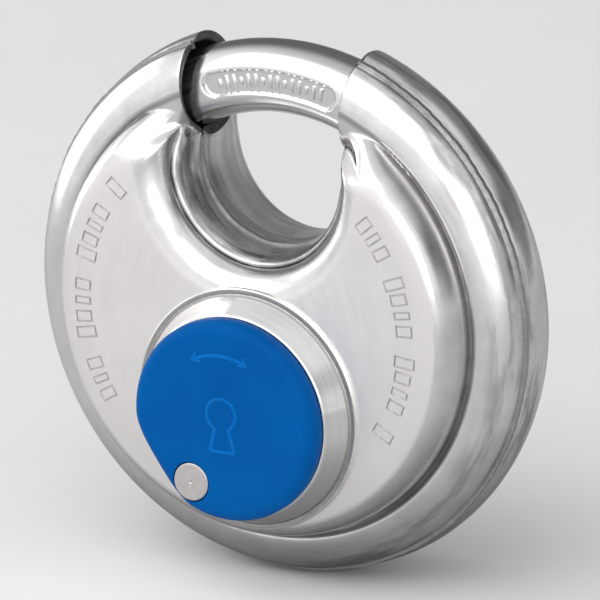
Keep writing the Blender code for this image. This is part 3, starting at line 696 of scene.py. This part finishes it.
def pale_floor():
    """A pale floor with painted reflections: the polished steel mirrors it darker, most of all close by,
    where this stands in for the padlock's contact shadow, and lighter far off.
    """
    look = Look("pale_floor")
    grain = look.noise(14, 3)
    colour = look.mix(look.remap(grain, 0.3, 0.7, 0.0, 1.0), (0.80, 0.80, 0.80), (0.83, 0.83, 0.83))
    split = look.add("ShaderNodeSeparateXYZ")
    look.feed(look.place, split.inputs[0])
    squares = [look.math("MULTIPLY", split.outputs[axis], split.outputs[axis]) for axis in (0, 1)]
    away = look.math("SQRT", look.math("ADD", *squares))
    # painted shadow and light in reflections: only what the steel mirrors is darkened close to the padlock,
    # as its contact shadow, and lightened far off
    painted_contact_shadow = look.remap(away, 0.02, 0.06, 0.28, 0.50, smooth=True)
    painted_far_light = look.remap(away, 0.20, 0.60, 0.0, 0.45, smooth=True)
    is_mirrored = look.add("ShaderNodeLightPath").outputs["Is Glossy Ray"]
    colour = look.mix(is_mirrored, colour, look.math("ADD", painted_contact_shadow, painted_far_light))
    return look.finish(colour, 0.6, 0.0)


STEEL = pressed_steel()
EDGE = cut_edge()
WELD = machined("ground_weld", (0.50, 0.49, 0.48), 0.28, 0.5, 1300)
ENGRAVED = machined("engraved_line", (0.70, 0.685, 0.675), 0.34, 0.5, 1300)
ROD = bent_rod_steel()
COLLAR_STEEL = lathe_steel("turned_collar", (0, KEY_Z), (0.93, 0.925, 0.92), 0.10, 0.17, depth=0.02)
RIVET_STEEL = lathe_steel("turned_rivet", (RIVET_X, RIVET_Z), (0.76, 0.735, 0.725), 0.36, 0.48, depth=0.5)
PLASTIC = blue_plastic("satin_blue_plastic", (0.0, 0.073, 0.282), (0.0, 0.089, 0.322))
# painted light: the raised relief on the cover takes a paler blue, which offsets the shade on its sloping
# sides
PALE_RELIEF_PLASTIC = blue_plastic("pale_relief_blue_plastic", (0.001, 0.110, 0.395), (0.003, 0.132, 0.450))
BRASS = machined("machined_brass", (0.80, 0.60, 0.27), 0.22, 0.36)
ZINC = machined("cast_zinc", (0.50, 0.51, 0.53), 0.42, 0.58, 500)
HARD_STEEL = machined("hardened_steel", (0.56, 0.56, 0.57), 0.24, 0.38)
WIRE = machined("spring_wire", (0.62, 0.61, 0.60), 0.2, 0.3, 2500)


# ---- the two shells ----
def mark_bars(start, end, radius, count):
    """Outlined bars in an arc about the disc's middle, as rings that cut a thin line into the face."""
    bm = bmesh.new()
    for i in range(count):
        place = i % 5
        if place == 3:
            continue
        x, z = clockwise(start + (end - start) * i / (count - 1))
        half_wide = 0.45 if place == 1 else 0.66
        tall = 1.25 if place == 4 else 1.0

        def ring(y, inset):
            made = []
            for s, t in ((-1, -1), (1, -1), (1, 1), (-1, 1)):
                out, along = radius + s * (tall - inset), t * (half_wide - inset)
                made.append(bm.verts.new((out * x + along * z, y, out * z - along * x)))
            return made

        over, floor = -FACE - 0.3, -FACE + MARK_DEPTH
        rows = [ring(over, 0), ring(floor, 0), ring(floor, MARK_LINE), ring(over, MARK_LINE)]
        skin_grid(bm, rows, closed_across=True, closed_along=True)
    return bm


def seam_weld():
    """The weld that fills the seam round the rim and round the hole, a little below the surface."""
    bm = bmesh.new()
    sunk, thick, overlap, steps = 0.10, 0.9, 0.12, 300
    seam = (SEAM_FRONT + SEAM_BACK) / 2
    rim_r = RIM_R + RIM_HALF_WIDTH * math.cos(math.asin(-seam / RIM_HALF_DEPTH))
    hole_r = HOLE_R + BEAD_WIDTH * (1 - math.cos(math.asin(-seam / BEAD_DEPTH)))
    outer_start = math.degrees(math.asin(GAP_HALF_WIDTH / DISC_R)) + 0.6    # just inside the rim's ends
    hole_start = 80.5
    seams = ((0, rim_r - sunk, rim_r - sunk - thick, outer_start),
             (HOLE_Z, hole_r + sunk, hole_r + sunk + thick, hole_start))
    for centre_z, near, far, first in seams:
        rows = []
        for i in range(steps + 1):
            angle = first + (360 - 2 * first) * i / steps
            x, z = clockwise(angle)
            wave = 0.02 * math.sin(angle * 9.7) + 0.015 * math.sin(angle * 23.1)   # the weld's unevenness
            front, back, side = SEAM_FRONT - overlap, SEAM_BACK + overlap, near + wave * 2
            section = ((near + wave, seam), (side, front), (far, front), (far, back), (side, back))
            rows.append([bm.verts.new((radius * x, y, centre_z + radius * z)) for radius, y in section])
        skin_grid(bm, rows, closed_across=True)
        bm.faces.new(rows[0])
        bm.faces.new(rows[-1])
    return bm


def build_shells():
    ribs = 260
    front = finish_mesh("front_shell_skin", shell_mesh(-1, ribs), [STEEL, EDGE, ENGRAVED], "case",
                        ["front_shell"])
    carve(front, prism(circle(SPIGOT_R + 0.1, (0, KEY_Z)), -FACE - 1, -FACE + WALL + 1))
    carve(front, mark_bars(-120, -50, 20.1, 15), ENGRAVED)
    carve(front, mark_bars(50, 122, 19.2, 15), ENGRAVED)
    finish_mesh("rear_shell_skin", shell_mesh(1, ribs), [STEEL, EDGE], "case", ["rear_shell"])
    finish_mesh("seam_weld", seam_weld(), [WELD], "case", ())


# ---- the shackle ----
def rod_mesh(along_steps, sides):
    """A bent round rod with a rounded nose and a sunk panel in front."""
    bm = bmesh.new()
    stops = []
    for i in range(NOSE_STEPS + 1):
        turn = math.pi / 2 * i / NOSE_STEPS
        swell = NOSE_SWELL + (1 - NOSE_SWELL) * math.sin(turn)
        stops.append((SHACKLE_NOSE + NOSE_ARC * (1 - math.cos(turn)), swell))
    panel = PANEL_HALF_ARC + 2.0
    stretches = (stops[-1][0], -panel, 0.05), (-panel, panel, 0.45), (panel, SHACKLE_TAIL, 0.5)
    for low, high, share in stretches:
        steps = int(along_steps * share)
        stops += [(low + (high - low) * i / steps, 1.0) for i in range(1, steps + 1)]
    half_long = math.radians(PANEL_HALF_ARC) * PANEL_R - PANEL_HALF_WIDTH
    rows = []
    for angle, swell in stops:
        x, z = clockwise(angle)
        row = []
        for k in range(sides):
            turn = TURN * k / sides
            radius = SHACKLE_R + SHACKLE_ROD_R * swell * math.cos(turn)
            depth = SHACKLE_ROD_R * swell * math.sin(turn)
            if depth < 0:
                along = max(0.0, abs(math.radians(angle) * PANEL_R) - half_long)
                edge = math.hypot(along, radius - PANEL_R) - PANEL_HALF_WIDTH
                sunk = ease(0.5 - edge / PANEL_SLOPE)
                depth += max(0.0, -SHACKLE_ROD_R + PANEL_DEPTH - depth) * sunk
            row.append(bm.verts.new((radius * x, depth, radius * z)))
        rows.append(row)
    skin_grid(bm, rows, closed_across=True)
    for row in (rows[0], rows[-1]):
        bm.faces.new(row)
    return bm


def tooth_outline(centre_z, pitch_r, angle, tip, root, half_at_pitch):
    """A straight-sided tooth or tooth space about (0, centre_z), pointing away from it."""
    x, z = clockwise(angle)
    flank = math.tan(math.radians(PRESSURE_ANGLE))
    points = []
    for radius, side in ((root, -1), (tip, -1), (tip, 1), (root, 1)):
        half = side * (half_at_pitch - (radius - pitch_r) * flank)
        points.append((radius * x + half * z, centre_z + radius * z - half * x))
    return points


def rack_spaces():
    """The gaps between the teeth on the inner side of the shackle's tail, one module of 1 mm."""
    bm = bmesh.new()
    pitch_r, step = RACK_TEETH / 2, 360 / RACK_TEETH
    beyond_pitch, clear_of_rod, backlash, side_play = 1.25, 3.0, 0.075, 0.3
    first = math.ceil((SHACKLE_TURN + PINION_REACH) / step)
    for i in range(-first, first):
        angle = 180 + (i + 0.5) * step
        if angle > SHACKLE_TAIL + step / 2:
            break
        tip, root = pitch_r + beyond_pitch, pitch_r - clear_of_rod
        outline = tooth_outline(0, pitch_r, angle, tip, root, math.pi / 4 + backlash)
        prism(outline, GEAR_Y[0] - side_play, GEAR_Y[1] + side_play, bm)
    return bm


def panel_ribs():
    """Raised bars with rounded ends on the panel's floor."""
    bm = bmesh.new()
    count, sides, half_wide, margin = 15, 16, 0.22, 4.6
    floor = PANEL_DEPTH - SHACKLE_ROD_R
    for i in range(count):
        angle = (PANEL_HALF_ARC - margin) * (2 * i / (count - 1) - 1)
        x, z = clockwise(angle)
        half_long = 0.85 if i % 3 else 0.5
        layers = []
        for depth, shrink in ((0.25, 0), (-0.12, 0), (-0.22, 0.05), (-0.26, 0.13)):
            ring = []
            for k in range(sides):
                up, across = math.sin(TURN * k / sides), math.cos(TURN * k / sides)
                shift = math.copysign(half_long - half_wide, up) if abs(up) > 1e-6 else 0
                out = PANEL_R + shift + (half_wide - shrink) * up
                side = (half_wide - shrink) * across
                ring.append(bm.verts.new((out * x + side * z, floor + depth, out * z - side * x)))
            layers.append(ring)
        skin_grid(bm, layers, closed_across=True)
        bm.faces.new(layers[0])
        bm.faces.new(layers[-1])
    return bm


def build_shackle():
    rod = rod_mesh(440, 144)
    rod = finish_mesh("shackle_rod", rod, [ROD], "shackle", ["shackle"])
    carve(rod, rack_spaces())
    finish_mesh("shackle_panel_ribs", panel_ribs(), [ROD], "shackle", (), 50)


# ---- collar, cover and rivet ----
def build_collar():
    """The turned cone round the keyway, with a rounded top, a dull groove at its foot and a thin flange."""
    foot = -FACE
    profile = [(COLLAR_BORE, COLLAR_TOP + 0.25)]
    profile += corner((COLLAR_BORE + 0.25, COLLAR_TOP + 0.25), 0.25, 180, 270, 4)[1:]
    profile += corner((COLLAR_TOP_R, COLLAR_TOP + 0.35), 0.35, 270, 335, 5)
    profile += [(COLLAR_FOOT_R, foot - 0.75)] + corner((COLLAR_FOOT_R + 0.27, foot - 0.62), 0.16, 150, 60, 5)
    profile += corner((FLANGE_R - 0.22, foot - 0.22), 0.22, 260, 360, 6) + [(FLANGE_R, foot - 0.02)]
    profile += [(SPIGOT_R, foot - 0.02), (SPIGOT_R, foot + WALL), (COLLAR_BORE, foot + WALL)]
    collar = turned(profile, (0, KEY_Z), 160)
    for face in collar.faces:
        middle = face.calc_center_median()
        from_axis = math.hypot(middle.x, middle.z - KEY_Z)
        in_groove = COLLAR_GROOVE[0] < from_axis < COLLAR_GROOVE[1] and middle.y > foot - 0.8
        face.material_index = int(in_groove)
    collar = finish_mesh("keyway_collar_turned", collar, [COLLAR_STEEL, WELD], "case",
                         ["keyway_collar"], 30)
    carve(collar, prism(circle(RIVET_SHANK_HOLE, (RIVET_X, RIVET_Z), 32), -20, 0))


def cover_outline(inset, steps=180):
    """The cover's outline, drawn in by inset: a circle with one flat side, its corners rounded."""
    points = []
    for i in range(steps):
        angle = 360 * i / steps
        x, z = clockwise(angle)
        toward = math.cos(math.radians(angle - COVER_FLAT_ANGLE))
        to_flat = (COVER_FLAT - inset) / toward if toward > 0.3 else math.inf
        radius = soft_min(COVER_R - inset, to_flat, COVER_CORNER)
        points.append((radius * x, KEY_Z + radius * z))
    return points


def layered(layers, bm=None):
    """A closed solid through outlines [(y, outline), ...]."""
    bm = bm or bmesh.new()
    rings = [[bm.verts.new((x, y, z)) for x, z in outline] for y, outline in layers]
    skin_grid(bm, rings, closed_across=True)
    bm.faces.new(rings[0])
    bm.faces.new(rings[-1])
    return bm


def ribbon(points, half_width):
    """The outline of a band of even width along a line of (x, z) points."""
    left, right = [], []
    for i, (x, z) in enumerate(points):
        ax, az = points[max(i - 1, 0)]
        bx, bz = points[min(i + 1, len(points) - 1)]
        length = math.hypot(bx - ax, bz - az)
        nx, nz = -(bz - az) / length, (bx - ax) / length
        left.append((x + nx * half_width, z + nz * half_width))
        right.append((x - nx * half_width, z - nz * half_width))
    return left + right[::-1]


RISE, CROSSING_RISE = 0.07, 0.08   # where two ridges meet, one is a little higher, so no faces coincide


def raised(line, bm, rise=RISE):
    """A low ridge with sloping sides along a line on the cover's face."""
    foot, top = ribbon(line, 0.21), ribbon(line, 0.09)
    layered([(COVER_FRONT + 0.3, foot), (COVER_FRONT + 0.01, foot), (COVER_FRONT - rise, top)], bm)


def cover_relief():
    """A double-headed arrow that shows which way the cover swings, and a plain keyhole sign."""
    bm = bmesh.new()
    radius, half_arc = 7.4, 27.0
    barb_length, barb_lean, swept = 1.1, 150, 4
    line = arc(radius, KEY_Z, -half_arc, half_arc, 25)
    raised(line, bm)
    for side in (-1, 1):
        tip = line[-1] if side > 0 else line[0]
        barbs = []
        for lean in (barb_lean, -barb_lean):
            x, z = clockwise(side * (half_arc + 90 + swept) + lean)
            barbs.append((tip[0] + barb_length * x, tip[1] + barb_length * z))
        raised([barbs[0], tip, barbs[1]], bm, CROSSING_RISE)
    head_r, head_z, opening = 1.75, KEY_Z + 0.9, 152
    foot, half_foot = KEY_Z - 3.2, 1.5
    head = arc(head_r, head_z, -opening, opening, 40)
    raised([(-half_foot, foot), *head, (half_foot, foot)], bm)
    raised([(-half_foot, foot), (half_foot, foot)], bm, CROSSING_RISE)
    return bm


def build_cover():
    """The moulded cover with a rounded front edge, its pivot hole and the recess for the rivet's head."""
    back_rounding = (0, 0.25), (0.07, 0.08), (0.22, 0.0)
    layers = [(COVER_BACK - up, cover_outline(inset)) for up, inset in back_rounding]
    steps = 12
    for i in range(steps + 1):
        turn = math.pi / 2 * i / steps
        outline = cover_outline(COVER_EDGE * (1 - math.cos(turn)))
        layers.append((COVER_FRONT + COVER_EDGE * (1 - math.sin(turn)), outline))
    cover = finish_mesh("keyway_cover_moulded", layered(layers), [PLASTIC], "cover",
                        ["keyway_cover"])
    carve(cover, prism(circle(RIVET_SHANK_HOLE, (RIVET_X, RIVET_Z), 48), -20, -10))
    recess = circle(RIVET_HEAD_R + HEAD_CLEARANCE, (RIVET_X, RIVET_Z), 64)
    carve(cover, prism(recess, -20, COVER_FRONT + RIVET_HEAD_HEIGHT + HEAD_SINK))
    finish_mesh("keyway_cover_relief", cover_relief(), [PALE_RELIEF_PLASTIC], "cover", (), 50)


def build_rivet():
    """The cover's pivot: a flat head with a turning mark in its middle, a shank and a spread tail."""
    top, under = COVER_FRONT, COVER_FRONT + RIVET_HEAD_HEIGHT
    inside = -FACE + WALL + 0.1
    profile = [(0, top + 0.05), (0.12, top + 0.05), (0.2, top), (RIVET_HEAD_R - 0.22, top)]
    profile += corner((RIVET_HEAD_R - 0.18, top + 0.18), 0.18, 270, 360, 5)
    profile += [(RIVET_HEAD_R, under), (RIVET_SHANK_R, under), (RIVET_SHANK_R, inside)]
    profile += [(RIVET_TAIL_R, inside), (RIVET_TAIL_R, RIVET_BACK), (0, RIVET_BACK)]
    finish_mesh("cover_rivet_turned", turned(profile, (RIVET_X, RIVET_Z), 72), [RIVET_STEEL], "case",
                ["cover_rivet"], 30)


def finish_cad_nodes():
    """Better materials on the CAD parts that stay: the lock's works, seen only when the cover is aside."""
    looks = {"stainless": HARD_STEEL, "hardened_steel": HARD_STEEL, "zinc": ZINC, "brass": BRASS,
             "spring_steel": WIRE}
    slots = {row["node"]: row["material_slot"] for row in frame["record"]["subparts"]}
    for name, node in frame["nodes"].items():
        if node.hide_render:
            continue
        node.data.materials.clear()
        node.data.materials.append(looks[slots[name]])


build_shells()
build_shackle()
build_collar()
build_cover()
build_rivet()
finish_cad_nodes()


# ---- studio ----
def build_floor():
    bm = bmesh.new()
    bmesh.ops.create_grid(bm, x_segments=1, y_segments=1, size=3.0)
    mesh = bpy.data.meshes.new("floor")
    bm.to_mesh(mesh)
    bm.free()
    mesh.materials.append(pale_floor())
    floor = bpy.data.objects.new("floor", mesh)
    floor.location.z = FLOOR_Z * MM - 0.0001
    bpy.context.scene.collection.objects.link(floor)


def build_light(name, place, size, power):
    """A soft box at place (metres) that faces the padlock."""
    data = bpy.data.lights.new(name, "AREA")
    data.shape = "RECTANGLE"
    data.size, data.size_y = size
    data.energy = power
    light = bpy.data.objects.new(name, data)
    light.location = place
    light.rotation_mode = "QUATERNION"
    light.rotation_quaternion = (-Vector(place)).to_track_quat("-Z", "Y")
    light.visible_camera = False
    bpy.context.scene.collection.objects.link(light)


def build_world():
    """A studio that is white in front and on the left, banded on the right and dim behind the padlock."""
    world = bpy.data.worlds.new("studio")
    world.use_nodes = True
    tree = world.node_tree
    place = tree.nodes.new("ShaderNodeTexCoord")
    split = tree.nodes.new("ShaderNodeSeparateXYZ")
    tree.links.new(place.outputs["Generated"], split.inputs[0])

    def by_height(stops):
        ramp = tree.nodes.new("ShaderNodeValToRGB")
        for stop, (height, level) in zip(ramp.color_ramp.elements, (stops[0], stops[-1])):
            stop.position, stop.color = height, (level, level, level, 1)
        for height, level in stops[1:-1]:
            ramp.color_ramp.elements.new(height).color = (level, level, level, 1)
        tree.links.new(split.outputs[2], ramp.inputs["Fac"])
        return ramp.outputs["Color"]

    def mix(share, first, second):
        node = tree.nodes.new("ShaderNodeMix")
        node.data_type = "RGBA"
        for value, name in ((share, "Factor"), (first, "A"), (second, "B")):
            if isinstance(value, bpy.types.NodeSocket):
                tree.links.new(value, node.inputs[name])
            else:
                node.inputs[name].default_value = value
        return node.outputs["Result"]

    def side(axis, low, high):
        node = tree.nodes.new("ShaderNodeMapRange")
        node.interpolation_type = "SMOOTHSTEP"
        node.inputs["From Min"].default_value = low
        node.inputs["From Max"].default_value = high
        tree.links.new(split.outputs[axis], node.inputs["Value"])
        return node.outputs[0]

    left = by_height([(0.0, 0.80), (0.10, 0.95), (0.30, 1.0), (0.72, 0.97), (1.0, 0.75)])
    right = by_height([(0.0, 0.60), (0.15, 0.50), (0.30, 0.12), (0.44, 0.14), (0.58, 0.60), (1.0, 0.80)])
    rear = by_height([(0.0, 0.30), (0.10, 0.20), (0.50, 0.20), (1.0, 0.25)])
    sides = mix(side(0, 0.0, 0.65), left, right)
    shade = mix(side(1, 0.08, 0.55), mix(side(1, -0.25, 0.1), left, sides), rear)
    seen = tree.nodes.new("ShaderNodeLightPath").outputs["Is Camera Ray"]
    tree.links.new(mix(seen, shade, (0.85, 0.85, 0.85, 1)), tree.nodes["Background"].inputs["Color"])
    bpy.context.scene.world = world


def build_camera():
    """A long lens from the right and a little above, as the padlock was photographed."""
    azimuth, elevation, roll = (math.radians(a) for a in (30.55, 16.77, -1.89))
    back = Vector((math.sin(azimuth) * math.cos(elevation), -math.cos(azimuth) * math.cos(elevation),
                   math.sin(elevation)))
    level = Vector((math.cos(azimuth), math.sin(azimuth), 0))
    upward = back.cross(level)
    right = level * math.cos(roll) + upward * math.sin(roll)
    up = upward * math.cos(roll) - level * math.sin(roll)
    data = bpy.data.cameras.new("camera")
    camera = bpy.data.objects.new("camera", data)
    distance, view_width, shift_right, shift_down = 0.9, 0.0638, 0.0007, 0.00028
    data.lens = data.sensor_width * distance / view_width
    data.clip_start = 0.05
    aim = Vector((0, MIDDLE_Y * MM, 0)) + right * shift_right - up * shift_down
    turn = Matrix((right, up, back)).transposed()
    camera.matrix_world = Matrix.Translation(aim + back * distance) @ turn.to_4x4()
    bpy.context.scene.collection.objects.link(camera)
    bpy.context.scene.camera = camera


build_floor()
build_world()
build_light("key_box", (-0.12, -0.45, 0.58), (1.10, 0.60), 3.0)
build_light("left_box", (-0.50, 0.06, 0.10), (0.40, 0.30), 0.45)
build_light("right_box", (0.48, -0.50, 0.22), (0.40, 0.40), 0.8)
build_camera()
bpy.context.scene.view_settings.view_transform = "Standard"
